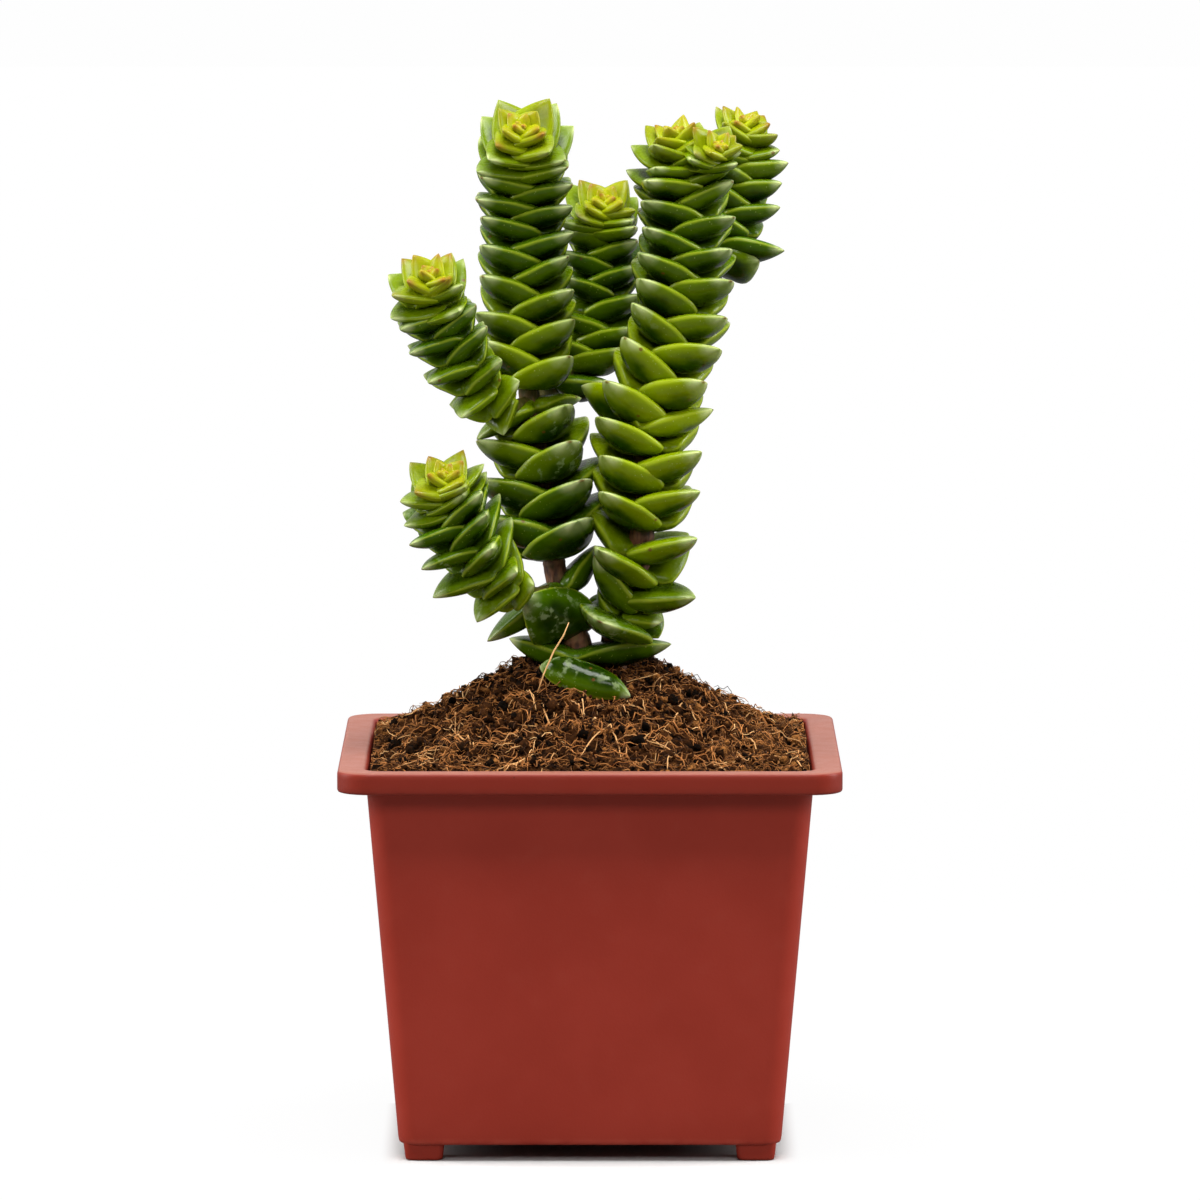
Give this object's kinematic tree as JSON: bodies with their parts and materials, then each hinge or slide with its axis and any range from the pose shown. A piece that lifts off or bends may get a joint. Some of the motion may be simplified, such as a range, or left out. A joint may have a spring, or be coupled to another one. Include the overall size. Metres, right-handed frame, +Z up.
{
  "type": "potted succulent",
  "caption": "Stacked crassula with upright and branching shoots of tightly stacked fleshy leaf pairs, heaped coir soil, and a small square plastic nursery pot with a flanged rim.",
  "frame": {"origin": "on the standing surface under the middle of the pot", "axes": "+Z up along the plant, -Y towards the front, +X to the right of the front view"},
  "size_m": [0.08, 0.08, 0.166],
  "materials": {
    "pot": "moulded terracotta-red polypropylene, satin with fine scuffs",
    "soil": "loose dark coir potting mix with pale fibres",
    "stem": "woody brown stem, matt",
    "leaf": "thick waxy green leaf, satin to glossy"
  },
  "bodies": {
    "root": {"leaves_back_right_01": "leaf", "leaves_back_right_02": "leaf", "leaves_back_right_03": "leaf", "leaves_back_right_04": "leaf", "leaves_back_right_05": "leaf", "leaves_left_01": "leaf", "leaves_left_02": "leaf", "leaves_left_03": "leaf", "leaves_left_04": "leaf", "leaves_left_05": "leaf", "leaves_left_06": "leaf", "leaves_left_07": "leaf", "leaves_left_08": "leaf", "leaves_left_09": "leaf", "leaves_left_10": "leaf", "leaves_left_11": "leaf", "leaves_left_12": "leaf", "leaves_left_13": "leaf", "leaves_left_14": "leaf", "leaves_left_15": "leaf", "leaves_lower_left_01": "leaf", "leaves_lower_left_02": "leaf", "leaves_lower_left_03": "leaf", "leaves_middle_01": "leaf", "leaves_middle_02": "leaf", "leaves_middle_03": "leaf", "leaves_right_01": "leaf", "leaves_right_02": "leaf", "leaves_right_03": "leaf", "leaves_right_04": "leaf", "leaves_right_05": "leaf", "leaves_right_06": "leaf", "leaves_right_07": "leaf", "leaves_right_08": "leaf", "leaves_right_09": "leaf", "leaves_right_10": "leaf", "leaves_right_11": "leaf", "leaves_right_12": "leaf", "leaves_right_13": "leaf", "leaves_right_14": "leaf", "leaves_upper_left_01": "leaf", "leaves_upper_left_02": "leaf", "leaves_upper_left_03": "leaf", "pot": "pot", "rosette_back_right": "leaf", "rosette_left": "leaf", "rosette_lower_left": "leaf", "rosette_middle": "leaf", "rosette_right": "leaf", "rosette_upper_left": "leaf", "soil": "soil", "stem_back_right": "stem", "stem_left": "stem", "stem_lower_left": "stem", "stem_middle": "stem", "stem_right": "stem", "stem_upper_left": "stem"}
  },
  "joints": []
}
